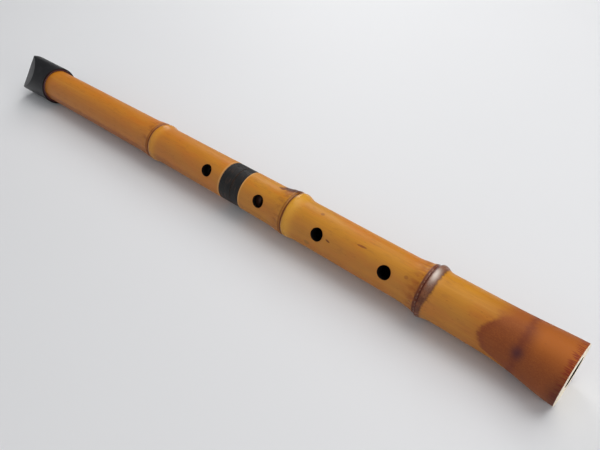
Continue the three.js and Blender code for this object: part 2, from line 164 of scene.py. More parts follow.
@dataclass(frozen=True)
class Culm:
    """Shape of the whole bamboo stem, as it grew and as it was cut and bored."""

    length: float = 542.0
    bow: float = 1.3
    bow_roll: float = -50.8
    nodes: tuple[NodeRing, ...] = (
        NodeRing(93.5, swell=2.3, setback=2.3, width=3.7, foot=0.9, lean=0.1, wander=0.55, second=1.7,
                 yellow=0.0, taper=2.4, beads=0.16, stained=True),
        NodeRing(206.2, swell=1.5, setback=2.7, width=4.6, foot=1.2, lean=0.4, wander=0.4, second=1.6,
                 yellow=0.75),
        NodeRing(352.9, swell=1.2, setback=3.2, width=3.5, foot=0.7, lean=0.1, wander=0.35, second=1.6,
                 yellow=0.4),
    )
    internodes: tuple[Internode, ...] = (
        Internode(0.0, 93.5, 17.45, 16.85),
        Internode(93.5, 206.2, 15.7, 15.75),
        Internode(206.2, 352.9, 15.55, 15.05),
        Internode(352.9, 542.0, 14.95, 14.45),
    )
    node_blend: float = 7.0
    foot_setback: float = 5.5
    foot_width: float = 5.5
    taper_roll: float = 100.0
    taper_setback: float = 1.5
    taper_width: float = 3.0
    scar_depth: float = 0.6
    scar_width: float = 0.9
    lip_height: float = 0.45
    lip_setback: float = 2.4
    lip_width: float = 1.5
    wander_width: float = 3.4
    wander_waves: float = 2.4
    bead_setback: float = 0.6
    bead_width: float = 1.5
    bead_waves: tuple[float, float] = (0.9, 17.0)
    flare_length: float = 50.0
    flare_height: float = 3.2
    flare_lean: float = 2.0
    lean_roll: float = 129.2
    flare_power: float = 1.3
    root_cut: float = 3.5
    root_cut_roll: float = 72.0
    uneven: float = 0.14
    uneven_waves: tuple[float, float] = (0.018, 1.3)
    skin_radius: float = 14.2
    bore_root: float = 9.0
    bore_throat: float = 7.75
    bore_joint: float = 8.7
    bore_mouth: float = 10.0
    throat: float = 85.0
    seam: float = 257.6
    lower_binding: float = 8.2
    upper_binding: float = 11.8
    binding_seat: float = 13.92
    tenon_hold: float = 28.0
    tenon_reach: float = 27.0
    lining_wall: float = 1.0
    gap: float = 0.3
    holes: tuple[Hole, ...] = (
        Hole(120.6, 56.6), Hole(175.4, 56.6), Hole(230.2, 56.6), Hole(285.0, 50.6), Hole(312.4, 230.6),
    )

    def centre(self, station: float) -> Vector:
        """Returns the middle of the culm at a station."""
        rise = self.bow * (1 - (2 * station / self.length - 1) ** 2)
        return outwards(self.bow_roll) * rise + Vector((-station, 0.0, 0.0))

    def barrel(self, station: float) -> float:
        """Returns the radius without node rings and flare."""
        radius = 0.0
        for stretch in self.internodes:
            along = (station - stretch.start) / (stretch.end - stretch.start)
            own = blend(stretch.root_radius, stretch.mouth_radius, along)
            low, high = stretch.start - self.node_blend, stretch.start + self.node_blend
            share = 1.0 if stretch.start == 0 else smooth(low, high, station)
            radius = blend(radius, own, share)
        return radius

    def relief(self, station: float) -> float:
        """Returns the height of the node rings at a station."""
        height = 0.0
        for node in self.nodes:
            past = station - node.station
            height += node.swell * bell(past, -node.setback, node.width)
            height += node.foot * bell(past, self.foot_setback, self.foot_width)
            height += self.lip_height * bell(past, self.lip_setback, self.lip_width)
            height -= self.scar_depth * bell(past, 0.0, self.scar_width)
        return height

    def flare(self, station: float, roll: float) -> float:
        """Returns the height of the root flare at a station and roll."""
        share = max(0.0, 1 - station / self.flare_length) ** self.flare_power
        lean = self.flare_lean * math.cos(math.radians(roll - self.lean_roll))
        return smooth(0.0, 1.0, share) * (self.flare_height + lean)

    def slant(self, station: float, roll: float, reach: float) -> float:
        """Returns how far a point is shifted mouthwards, so that the root end lies in its slanted cut."""
        fade = max(0.0, 1 - station / self.flare_length)
        turn = math.radians(roll - self.root_cut_roll)
        return fade * reach * math.tan(math.radians(self.root_cut)) * math.cos(turn)

    def surface(self, station: float, roll: float) -> float:
        """Returns the outside radius of the grown culm."""
        return self.barrel(station) + self.relief(station) + self.flare(station, roll)

    def bore(self, station: float) -> float:
        """Returns the radius of the finished bore."""
        if station < self.throat:
            return blend(self.bore_root, self.bore_throat, smooth(0.0, self.throat, station))
        if station < self.seam:
            tip = self.seam - self.tenon_reach
            return blend(self.bore_throat, self.bore_joint, smooth(self.throat, tip, station))
        top = self.seam + self.tenon_hold
        return blend(self.bore_joint, self.bore_mouth, smooth(top, self.length, station))

    def bored(self, start: float, end: float, step: float, wall: float = 0.0) -> list[tuple[float, float]]:
        """Returns the outline of the bore between two stations, a wall larger."""
        return [(station, self.bore(station) + wall) for station in even(start, end, step)]

    def skin(self, start: float, end: float) -> list[tuple[float, float]]:
        """Returns the outline of the skin: points close at nodes, holes and flare, and wide elsewhere."""
        at_node, fine = 3.6, 0.28
        near_node, near_hole, close = 16.0, 6.5, 0.8
        on_flare, wide, least = 1.6, 2.6, 0.2

        def step(station: float) -> float:
            """Returns the spacing of the points at a station."""
            from_node = min(abs(station - node.station) for node in self.nodes)
            from_hole = min(abs(station - hole.station) for hole in self.holes)
            if from_node < at_node:
                return fine
            if from_node < near_node or from_hole < near_hole:
                return close
            return on_flare if station < self.flare_length else wide

        stations = [start]
        while stations[-1] + step(stations[-1]) < end - least:
            stations.append(stations[-1] + step(stations[-1]))
        return [(station, self.barrel(station) + self.relief(station)) for station in (*stations, end)]

    def grow(self, mesh: bmesh.types.BMesh, skin_radius: Callable[[float], float]) -> None:
        """Moves a turned mesh onto the bowed centre line and gives its skin its natural unevenness.

        Args:
            mesh: A mesh turned about the straight x axis.
            skin_radius: Least radius, by station, at which a vertex belongs to the skin.
        """
        for vertex in mesh.verts:
            station = -vertex.co.x
            radius = math.hypot(vertex.co.y, vertex.co.z)
            roll = math.degrees(math.atan2(-vertex.co.y, vertex.co.z))
            across = outwards(roll)
            if radius > skin_radius(station):
                shift, height = self._natural(station, roll, across)
                vertex.co.x -= shift
                radius += height
            place = self.centre(station)
            vertex.co.x -= self.slant(station, roll, radius)
            vertex.co.y, vertex.co.z = place.y + radius * across.y, place.z + radius * across.z

    def _natural(self, station: float, roll: float, across: Vector) -> tuple[float, float]:
        """Returns how far the skin strays mouthwards and how much it rises at a point.

        Args:
            station: Station of the point.
            roll: Roll of the point.
            across: Unit vector at that roll.

        Returns:
            The shift along the culm and the height.
        """
        along, around = self.uneven_waves
        lumps = Vector((station * along, across.y * around, across.z * around))
        height = self.flare(station, roll) + self.uneven * noise.noise(lumps)
        drawn = 0.5 + 0.5 * math.cos(math.radians(roll - self.taper_roll))
        shift = 0.0
        for node in self.nodes:
            past = station - node.station
            lean = node.lean * math.cos(math.radians(roll - self.bow_roll))
            height += lean * node.swell * bell(past, -node.setback, node.width)
            height += lean * node.foot * bell(past, self.foot_setback, self.foot_width)
            shift += node.taper * drawn * bell(past, -node.setback - self.taper_setback, self.taper_width)
            near = bell(past, 0.0, self.wander_width)
            if near > 0.02:
                wave = Vector((node.station, across.y * self.wander_waves, across.z * self.wander_waves))
                along, around = self.bead_waves
                fine = Vector((station * along, across.y * around, across.z * around))
                shift += node.wander * near * noise.noise(wave)
                height += node.beads * bell(past, self.bead_setback, self.bead_width) * noise.noise(fine)
        return shift, height


def spin(mesh: bmesh.types.BMesh, profile: Sequence[Sequence[float]], axis: Sequence[float], steps: int,
         closed: bool = True, turns: int = 1, rise: float = 0.0) -> None:
    """Sweeps a profile round an axis through the origin.

    Args:
        mesh: Where it goes.
        profile: Points of the profile.
        axis: Axis.
        steps: Steps in each turn.
        closed: Whether the profile's end joins its start.
        turns: Full turns; one turn is welded to its start.
        rise: Travel along the axis in each step.
    """
    points = [mesh.verts.new(point) for point in profile]
    edges = [mesh.edges.new((points[at - 1], points[at])) for at in range(0 if closed else 1, len(points))]
    bmesh.ops.spin(mesh, geom=points + edges, cent=(0, 0, 0), axis=axis, dvec=Vector(axis) * rise,
                   angle=TURN * turns, steps=steps * turns, use_merge=turns == 1, use_normal_flip=False,
                   use_duplicate=False)
    if turns == 1:
        bmesh.ops.remove_doubles(mesh, verts=mesh.verts, dist=WELD)
        bmesh.ops.recalc_face_normals(mesh, faces=mesh.faces)


def turned(outline: Outline, sides: int) -> bmesh.types.BMesh:
    """Turns a closed outline about the x axis.

    Args:
        outline: Points as (station, radius), joined end to start.
        sides: Steps round the axis.

    Returns:
        A closed mesh whose faces point outwards.
    """
    mesh = bmesh.new()
    kept: list[tuple[float, float]] = []
    for point in outline:
        if not kept or math.dist(point, kept[-1]) > WELD * 10:
            kept.append(point)
    spin(mesh, [(-station, 0.0, radius) for station, radius in kept], (1, 0, 0), sides)
    return mesh


def as_object(mesh: bmesh.types.BMesh, name: str) -> bpy.types.Object:
    """Returns a linked object that holds a mesh, and frees the mesh."""
    data = bpy.data.meshes.new(name)
    mesh.to_mesh(data)
    mesh.free()
    piece = bpy.data.objects.new(name, data)
    bpy.context.scene.collection.objects.link(piece)
    return piece


def set_modifiers(piece: bpy.types.Object) -> None:
    """Gives a piece the mesh that its modifiers make of it."""
    bpy.context.view_layer.update()
    made = piece.evaluated_get(bpy.context.evaluated_depsgraph_get())
    mesh = bpy.data.meshes.new_from_object(made)
    piece.modifiers.clear()
    worn, piece.data = piece.data, mesh
    bpy.data.meshes.remove(worn)


def carve(piece: bpy.types.Object, tool: bmesh.types.BMesh, operation: str = "DIFFERENCE") -> None:
    """Cuts a piece with a tool, or keeps what both share, and drops the tool."""
    cutter = as_object(tool, "cutter")
    modifier = piece.modifiers.new("carve", "BOOLEAN")
    modifier.operation = operation
    modifier.solver = "EXACT"
    modifier.object = cutter
    set_modifiers(piece)
    bpy.data.objects.remove(cutter)


def cut_off(mesh: bmesh.types.BMesh, point: Sequence[float], normal: Sequence[float]) -> None:
    """Cuts off what lies past a plane, and closes what is open."""
    bmesh.ops.bisect_plane(mesh, geom=[*mesh.verts, *mesh.edges, *mesh.faces], dist=WELD,
                           plane_co=point, plane_no=normal, clear_outer=True)
    bmesh.ops.holes_fill(mesh, edges=[edge for edge in mesh.edges if edge.is_boundary], sides=0)


@dataclass(frozen=True)
class Facet:
    """A slanted cut on the front of the mouth end, in the frame of the piece that it cuts.

    Attributes:
        chord: Distance from the centre line to the facet at the end face that it meets.
        angle: Angle in degrees between the facet and the culm.
        roll: Roll that it faces.
    """

    chord: float
    angle: float
    roll: float

    def axes(self, middle: Vector) -> Matrix:
        """Returns the facet's frame: x runs down it to the root and z points out of it."""
        front, slope = outwards(self.roll), math.radians(self.angle)
        rootwards = Vector((1.0, 0.0, 0.0))
        down = rootwards * math.cos(slope) + front * math.sin(slope)
        out = front * math.cos(slope) - rootwards * math.sin(slope)
        turn = Matrix((down, out.cross(down), out)).transposed().to_4x4()
        return Matrix.Translation(middle + front * self.chord) @ turn

    def block(self, middle: Vector, span: float = 90.0) -> bmesh.types.BMesh:
        """Returns a block that holds everything in front of the facet."""
        mesh = bmesh.new()
        bmesh.ops.create_cube(mesh, size=span)
        place = self.axes(middle) @ Matrix.Translation((0, 0, span / 2))
        bmesh.ops.transform(mesh, matrix=place, verts=mesh.verts)
        return mesh


class Wire:
    """A value in a shader's node tree that takes part in sums and products."""

    def __init__(self, shader: "Shader", socket: Socket) -> None:
        """Keeps the socket and its shader."""
        self.shader, self.socket = shader, socket

    def math(self, operation: str, other: "float | Wire" = 0.0) -> "Wire":
        """Returns the result of one Math node."""
        return self.shader.node("ShaderNodeMath", {0: self, 1: other}, operation=operation)

    def __add__(self, other: "float | Wire") -> "Wire":
        """Returns the sum."""
        return self.math("ADD", other)

    def __sub__(self, other: "float | Wire") -> "Wire":
        """Returns the difference."""
        return self.math("SUBTRACT", other)

    def __mul__(self, other: "float | Wire") -> "Wire":
        """Returns the product."""
        return self.math("MULTIPLY", other)

    def __truediv__(self, other: "float | Wire") -> "Wire":
        """Returns the quotient."""
        return self.math("DIVIDE", other)

    def __neg__(self) -> "Wire":
        """Returns the value with its sign changed."""
        return self * -1.0

    def step(self, low: float, high: float, to_low: float = 0.0, to_high: float = 1.0) -> "Wire":
        """Returns a smooth step, from to_low at low to to_high at high."""
        inputs = dict(enumerate((self, low, high, to_low, to_high)))
        return self.shader.node("ShaderNodeMapRange", inputs, interpolation_type="SMOOTHSTEP")

    def bell(self, centre: float, width: float) -> "Wire":
        """Returns a bell curve of height 1."""
        past = (self - centre) / width
        return (-(past * past)).math("EXPONENT")


Value = float | Wire
Paint = Colour | Wire


class Shader:
    """A procedural material on Object coordinates, whose colour is laid on coat by coat.

    Attributes:
        colour: The colour so far.
        place: Millimetres in the flute's own frame, as a vector.
        x, y, z: Its parts.
    """

    def __init__(self, name: str, place: Matrix) -> None:
        """Starts a material with its Principled shader and its coordinates.

        Args:
            name: Name of the material.
            place: From the flute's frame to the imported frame, both in metres.
        """
        self.material = bpy.data.materials.new(name)
        self.material.use_nodes = True
        self.tree = self.material.node_tree
        self.tree.nodes.clear()
        self.surface = self.tree.nodes.new("ShaderNodeBsdfPrincipled")
        output = self.tree.nodes.new("ShaderNodeOutputMaterial")
        self.tree.links.new(self.surface.outputs["BSDF"], output.inputs["Surface"])
        self.colour: Paint = (0.0, 0.0, 0.0)
        seat = {"Vector": self.node("ShaderNodeTexCoord", {}, "Object"), "Location": place.to_translation(),
                "Rotation": place.to_euler(), "Scale": (MM, MM, MM)}
        self.place = self.node("ShaderNodeMapping", seat, vector_type="TEXTURE")
        parts = self.node("ShaderNodeSeparateXYZ", {0: self.place}).socket.node
        self.x, self.y, self.z = (Wire(self, socket) for socket in parts.outputs)

    def feed(self, socket: Socket, value: "Value | Colour | Vector") -> None:
        """Links a socket to a wire, or sets it."""
        if isinstance(value, Wire):
            self.tree.links.new(value.socket, socket)
        elif isinstance(value, tuple) and socket.type == "RGBA":
            socket.default_value = (*value, 1.0)
        else:
            socket.default_value = value

    def node(self, kind: str, inputs: dict, output: int | str = 0, **settings: str) -> Wire:
        """Adds a node.

        Args:
            kind: Its type.
            inputs: What goes into it, by the input's name or place.
            output: Name or place of the output to return.
            settings: Its own settings.

        Returns:
            That output.
        """
        node = self.tree.nodes.new(kind)
        for name, setting in settings.items():
            setattr(node, name, setting)
        for name, value in inputs.items():
            self.feed(node.inputs[name], value)
        return Wire(self, node.outputs[output])

    def mix(self, share: Value, first: Paint, second: Paint, kind: str = "MIX") -> Wire:
        """Returns two colours blended by a share."""
        inputs = {0: share, 6: first, 7: second}
        return self.node("ShaderNodeMix", inputs, 2, data_type="RGBA", blend_type=kind)

    def lay(self, share: Value, colour: Paint, kind: str = "MIX") -> None:
        """Lays a coat over the colour so far, by a share."""
        self.colour = self.mix(share, self.colour, colour, kind)

    def vector(self, x: Value, y: Value, z: Value) -> Wire:
        """Returns a vector made of three values."""
        return self.node("ShaderNodeCombineXYZ", {0: x, 1: y, 2: z})

    def noise(self, place: Wire, scale: float, detail: float = 2.0, rough: float = 0.5) -> Wire:
        """Returns noise of 0 to 1 at a place."""
        inputs = {"Vector": place, "Scale": scale, "Detail": detail, "Roughness": rough}
        return self.node("ShaderNodeTexNoise", inputs, "Fac")

    def cells(self, place: Wire, scale: float) -> Wire:
        """Returns the distance to the nearest of many scattered points."""
        return self.node("ShaderNodeTexVoronoi", {"Vector": place, "Scale": scale}, "Distance")

    def relief(self, height: Wire, depth: float, strength: float) -> None:
        """Raises the surface by a height of 0 to 1 times a depth in millimetres."""
        inputs = {"Strength": strength, "Distance": depth * MM, "Height": height}
        self.feed(self.surface.inputs["Normal"], self.node("ShaderNodeBump", inputs))

    def finish(self, **sockets: Value) -> bpy.types.Material:
        """Sets the colour and the shader's own sockets, and returns the material.

        Args:
            sockets: What the sockets get; an underscore in a name stands for a space.

        Returns:
            The finished material.
        """
        names = {socket.name.lower(): socket for socket in self.surface.inputs}
        for name, value in {"base_color": self.colour, **sockets}.items():
            self.feed(names[name.replace("_", " ")], value)
        return self.material


@dataclass(frozen=True)
class Blemish:
    """A small mark in the bamboo skin.

    Attributes:
        station: Middle along the culm.
        roll: Middle round the culm.
        along: Half its length along the culm.
        around: Half its width round the culm.
        turn: Turn of its long side, in degrees.
        colour: Colour that it stains the skin.
        strength: How much it covers.
        ragged: How ragged its edge is.
    """

    station: float
    roll: float
    along: float
    around: float
    turn: float
    colour: Colour
    strength: float
    ragged: float = 0.6


class BambooSkin(Shader):
    """Aged, lightly oiled bamboo skin with its nodes, stains and reddish root, and painted shade on its front
    and underside and painted highlights on a node and at the binding shoulders.
    """

    tan = srgb(200, 124, 28)
    amber = srgb(204, 111, 14)
    gold = srgb(204, 136, 26)
    pale = srgb(214, 156, 56)
    painted_front_shade = srgb(168, 112, 68)
    painted_underside_shade = srgb(124, 68, 40)
    yellow = srgb(224, 166, 58)
    rust = srgb(128, 62, 30)
    burnt = srgb(154, 79, 24)
    umber = srgb(76, 42, 34)
    mauve = srgb(122, 86, 74)
    painted_glint_colour = srgb(226, 216, 206)
    scar = srgb(88, 30, 16)
    root_edge, root_lobe, root_lobe_roll = 45.5, 8.0, 62.0
    ring_station, spot_roll = 29.6, 61.0
    glint_roll, side_roll = 6.0, 78.0
    blemishes = (
        Blemish(165.6, 57.0, 1.9, 0.65, -12.0, srgb(96, 46, 26), 0.85, 0.3),
        Blemish(142.0, 27.0, 3.9, 0.7, 4.0, srgb(134, 66, 34), 0.85, 0.5),
        Blemish(180.0, 1.0, 1.6, 1.4, 0.0, srgb(120, 66, 34), 0.5),
        Blemish(181.7, 92.0, 2.6, 1.6, 0.0, srgb(112, 88, 44), 0.45),
        Blemish(106.0, 40.0, 1.6, 1.3, 0.0, srgb(130, 70, 34), 0.5),
        Blemish(213.5, -27.0, 7.6, 5.6, -4.0, srgb(80, 36, 22), 0.95, 0.9),
        Blemish(220.0, -15.0, 3.6, 1.8, -10.0, srgb(104, 48, 26), 0.8, 1.2),
        Blemish(211.5, -4.0, 4.4, 3.0, 0.0, srgb(158, 84, 26), 0.55, 1.2),
    )

    def __init__(self, culm: Culm, place: Matrix) -> None:
        """Measures the skin from the bowed centre line and starts its grain.

        Args:
            culm: Shape of the stem.
            place: From the flute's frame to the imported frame, both in metres.
        """
        super().__init__("bamboo skin", place)
        self.culm, self.station = culm, -self.x
        share = self.station * (2 / culm.length) - 1.0
        rise = share * share * -culm.bow + culm.bow
        across = outwards(culm.bow_roll)
        self.y, self.z = self.y - rise * across.y, self.z - rise * across.z
        self.roll = (-self.y).math("ARCTAN2", self.z) * math.degrees(1)
        self.long_grain, self.clouds, even_grain = (
            self.vector(self.station * stretch, self.y, self.z) for stretch in (0.018, 0.35, 1.0))
        self.fibre = self.noise(self.long_grain, 1.9, 4.0, 0.6)
        self.mottle = self.noise(self.clouds, 0.34, 4.0, 0.6)
        self.ragged = self.noise(self.clouds, 0.55, 5.0, 0.7) - 0.5
        self.fine = self.noise(even_grain, 1.3, 4.0, 0.65) - 0.5

    def build(self) -> bpy.types.Material:
        """Returns the finished material."""
        station, roll, seam = self.station, self.roll, self.culm.seam
        self.colour = self.gold
        self.lay(station.step(215, 350), self.tan)
        self.lay(self.noise(self.clouds, 0.09, 3.0, 0.55).step(0.4, 0.72) * 0.6, self.amber)
        self.lay(self.noise(self.long_grain, 0.42, 3.0, 0.55).step(0.55, 0.8) * 0.35, self.pale)
        self.lay(self.mottle.step(0.5, 0.8) * 0.3, self.rust)
        self.lay(self.fibre.step(0.35, 0.75) * 0.14, self.umber, "MULTIPLY")
        # painted shade: a darker, greyer brown on the front of the culm, standing in for less light and the
        # floor's reflection there
        self.lay(roll.bell(66.0, 46.0) * 0.5, self.painted_front_shade)
        # painted shade: darker brown on the underside of the culm, stronger towards the mouth
        shade_beneath = (roll + self.ragged * 26.0).step(82.0, 100.0)
        self.lay(shade_beneath * station.step(250, 390, 0.22, 0.6), self.painted_underside_shade)
        self._root()
        for node in self.culm.nodes:
            self._node(node)
        for mark in self.blemishes:
            self._mark(mark)
        for hole in self.culm.holes:
            self._hole_rim(hole)
        self.lay(station.bell(seam, 1.2) * 0.85, srgb(104, 68, 54))
        # painted highlights: pale lines on the skin at the two shoulder edges beside the bindings, standing
        # in for light caught there
        for shoulder in (seam - 8.9, seam + 12.5):
            self.lay(station.bell(shoulder, 0.6) * 0.4, srgb(226, 184, 122))
        specks = self.cells(self.vector(station * 0.5, self.y, self.z), 0.3)
        self.lay(specks.step(0.13, 0.05) * 0.3, self.rust)
        rough = self.mottle * 0.16 + self.fibre * 0.06 + 0.34 + station.step(58.0, 40.0, 0.0, 0.16)
        for node in self.culm.nodes:
            rough = rough + station.bell(node.station - node.setback, 4.0) * -0.2
        self.relief(self.fibre + self.mottle * 0.6 + self.fine * 0.3, 0.05, 0.5)
        return self.finish(roughness=rough, specular_ior_level=0.22)

    def _root(self) -> None:
        """Lays the reddish root patch, its ring and dark spot, and the short fibres at the edge."""
        station, roll = self.station, self.roll
        lobe = roll.bell(self.root_lobe_roll, 36.0) * self.root_lobe
        reach = lobe + roll.step(92.0, 122.0, 0.0, -14.0) + self.root_edge
        past = station - reach + self.ragged * 5.0 + self.fine * 2.5
        speckle = self.fibre * 0.5 + self.fine * 0.9 + 0.1
        golden = roll.bell(14.0, 32.0) * station.step(28.0, 20.0) * 0.75
        shade = self.mix(roll.step(-12.0, 40.0), self.burnt, self.rust)
        shade = self.mix(golden, shade, srgb(182, 98, 22))
        shade = self.mix(speckle.step(0.2, 0.62) * 0.5, shade, srgb(168, 92, 40))
        shade = self.mix(roll.step(100.0, 124.0) * 0.4, shade, srgb(160, 104, 60))
        soft = past * roll.step(0.0, 34.0, 0.22, 1.0)
        ring = (station + self.ragged * 6.0).bell(self.ring_station, 2.6)
        spot = station.bell(self.ring_station, 3.6) * roll.bell(self.spot_roll, 12.0)
        comb = self.noise(self.vector(station * 0.12, roll * 0.5, 0.0), 1.0, 3.0)
        streaks = comb.step(0.42, 0.56) * (station + comb * -9.5).step(1.5, -2.5)
        self.lay(station.step(70, 44) * 0.35, self.burnt)
        self.lay(soft.step(1.6, -1.8) * 0.92, shade)
        self.lay(past.bell(-2.2, 2.2) * roll.step(16.0, 44.0) * 0.3, srgb(120, 52, 30))
        self.lay(ring * 0.5, srgb(104, 40, 30))
        self.lay(spot * 0.75, srgb(72, 38, 46))
        self.lay(streaks * 0.8, srgb(120, 26, 12))
        self.lay(station.step(12.0, 0.0) * roll.step(40, 90) * 0.72, srgb(72, 38, 28))

    def _node(self, node: NodeRing) -> None:
        """Lays one node's yellow swelling, its stains and its two scar lines."""
        station, at, line = self.station, node.station, 0.95
        strayed = station + self.ragged * (node.wander * 1.6)
        self.lay(strayed.bell(at - node.setback - 1.0, node.width + 0.6) * (node.yellow * 0.75), self.yellow)
        if node.stained:
            self._stain(node, strayed)
        else:
            self.lay(station.bell(at + 4.0, 5.0) * self.mottle.step(0.38, 0.66) * 0.42, self.rust)
        self.lay(strayed.bell(at, 0.9) * line, self.scar)
        self.lay(strayed.bell(at + node.second, 0.58) * (line * 0.62), self.scar)

    def _stain(self, node: NodeRing, strayed: Wire) -> None:
        """Lays the dark stain round a node, with a painted highlight (its glint) on the swelling and its row
        of beads.

        Args:
            node: The node.
            strayed: The station, straying as the scar does.
        """
        station, roll, at = self.station, self.roll, node.station
        drawn = station + roll.step(30.0, 100.0, 0.0, -node.taper)
        ragged_end = drawn + self.ragged * 3.4 + self.fine * 1.6
        on_ring = ragged_end.step(at - 6.2, at - 5.4) * strayed.step(at + 2.9, at + 2.1)
        # painted highlight: a near-white glint on the swelling just rootwards of the scar
        glint = roll.bell(self.glint_roll, 17.0) * strayed.bell(at - 2.6, 1.9) * 0.95
        shade = self.mix(roll.step(20.0, 72.0), self.mauve, self.umber)
        shade = self.mix(self.mottle.step(0.42, 0.62) * 0.5, shade, srgb(132, 88, 66))
        shade = self.mix(self.fine.step(-0.06, 0.1) * 0.55, shade, self.umber)
        shade = self.mix(glint, shade, self.painted_glint_colour)
        blotch = roll.bell(self.side_roll, 30.0) * (self.ragged + self.fine * 0.7).step(-0.02, 0.12)
        near = (station - at).math("ABSOLUTE").step(9.5, 3.0)
        grains = self.noise(self.vector(0.0, roll * 0.16, 0.0), 1.0, 1.0).step(0.46, 0.56)
        self.lay(on_ring * 0.9, shade)
        self.lay(ragged_end.bell(at - 5.9, 0.7) * 0.55, self.umber)
        self.lay(blotch * near * 0.85, self.umber)
        self.lay(station.bell(at + 4.5, 5.4) * self.mottle.step(0.3, 0.62) * 0.7, srgb(150, 76, 26))
        self.lay(strayed.bell(at + 0.75, 0.42) * grains * 0.7, srgb(196, 160, 130))

    def _offset(self, station: float, roll: float) -> tuple[Wire, Wire]:
        """Returns the distances along the culm and round it from a point of the skin."""
        turn = roll if roll <= 180 else roll - 360
        radius = self.culm.surface(station, roll)
        return self.station - station, (self.roll - turn) * math.radians(radius)

    def _mark(self, mark: Blemish) -> None:
        """Lays one small mark."""
        along, across = self._offset(mark.station, mark.roll)
        cos, sin = math.cos(math.radians(mark.turn)), math.sin(math.radians(mark.turn))
        first = (along * cos + across * sin) / mark.along
        other = (across * cos - along * sin) / mark.around
        reach = first * first + other * other + self.ragged * (2.2 * mark.ragged)
        self.lay(reach.step(1.3, 0.45) * mark.strength, mark.colour)

    def _hole_rim(self, hole: Hole) -> None:
        """Lays the slightly darker skin that fingers leave round a hole."""
        along, across = self._offset(hole.station, hole.roll)
        reach = (along * along + across * across).math("SQRT")
        self.lay(reach.step(8.0, 4.6) * 0.14, srgb(160, 92, 40))


@dataclass(frozen=True)
class Finishes:
    """The plainer finishes of the flute.

    Attributes:
        place: From the flute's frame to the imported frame, both in metres.
    """

    place: Matrix

    def cut_bamboo(self) -> bpy.types.Material:
        """Returns bamboo cut across its fibres: pale wood with dark dots that crowd towards the skin."""
        shader = Shader("cut bamboo", self.place)
        radius = (shader.y * shader.y + shader.z * shader.z).math("SQRT")
        dots = shader.cells(shader.place, 1.0).step(0.38, 0.2)
        shader.colour = srgb(250, 240, 220)
        shader.lay(shader.noise(shader.place, 1.4, 3.0) * 0.35, srgb(236, 214, 176))
        shader.lay(dots * radius.step(10, 20, 0.22, 0.75), srgb(164, 112, 66))
        shader.relief(dots, 0.08, 0.5)
        return shader.finish(roughness=0.62)

    def lacquer(self, name: str, colour: Colour, second: Colour, roughness: float,
                specular: float = 0.45) -> bpy.types.Material:
        """Returns dark lacquer with a slow ripple between two colours."""
        shader = Shader(name, self.place)
        ripple = shader.noise(shader.place, 0.16)
        grain = shader.noise(shader.place, 1.6, 3.0)
        shader.colour = colour
        shader.lay(ripple.step(0.35, 0.7), second)
        shader.relief(ripple + grain * 0.2, 0.06, 0.4)
        return shader.finish(roughness=grain * 0.14 + (roughness - 0.05), specular_ior_level=specular)

    def rattan(self) -> bpy.types.Material:
        """Returns split rattan strand, lacquered black, with brown showing where it is rubbed."""
        shader = Shader("black rattan", self.place)
        roll = (-shader.y).math("ARCTAN2", shader.z)
        fibre = shader.noise(shader.vector(shader.x * 1.7, roll * 0.9, 0.0), 1.0, 4.0, 0.65)
        cloud = shader.noise(shader.place, 0.2, 3.0)
        shader.colour = srgb(12, 12, 12)
        shader.lay(fibre.step(0.35, 0.7), srgb(29, 29, 28))
        shader.lay(fibre.step(0.54, 0.64) * cloud.step(0.4, 0.55) * 0.75, srgb(104, 72, 58))
        shader.relief(fibre, 0.06, 0.7)
        return shader.finish(roughness=fibre * 0.2 + 0.36, specular_ior_level=0.4)

    def horn(self) -> bpy.types.Material:
        """Returns polished dark horn with lighter veins along the blowing edge."""
        shader = Shader("polished horn", self.place)
        veins = shader.noise(shader.vector(shader.x * 0.25, shader.y, shader.z * 2.0), 0.5, 4.0, 0.6)
        shader.colour = srgb(38, 28, 22)
        shader.lay(veins.step(0.52, 0.74), srgb(104, 76, 48))
        shader.relief(veins, 0.02, 0.3)
        return shader.finish(roughness=0.2, specular_ior_level=0.5)

    def cap(self) -> bpy.types.Material:
        """Returns a satin black moulding, fine grained, with greyer handling marks."""
        shader = Shader("satin black cap", self.place)
        cloud = shader.noise(shader.place, 0.14, 4.0, 0.6)
        grain = shader.noise(shader.place, 5.0)
        scuff = shader.noise(shader.place, 0.9, 5.0, 0.7)
        shader.colour = srgb(11, 11, 14)
        shader.lay(cloud.step(0.38, 0.7), srgb(24, 24, 27))
        shader.lay(scuff.step(0.6, 0.75) * 0.4, srgb(42, 42, 44))
        shader.relief(grain + scuff * 0.5, 0.03, 0.5)
        return shader.finish(roughness=cloud * 0.14 + grain * 0.05 + 0.34, specular_ior_level=0.28)

    def felt(self) -> bpy.types.Material:
        """Returns dark red felt with a soft nap."""
        shader = Shader("dark red felt", self.place)
        nap = shader.noise(shader.place, 3.2, 5.0, 0.75)
        shader.colour = srgb(58, 18, 24)
        shader.lay(nap.step(0.3, 0.7), srgb(92, 30, 36))
        shader.relief(nap, 0.25, 0.8)
        return shader.finish(roughness=0.95, sheen_weight=0.4, sheen_roughness=0.5)


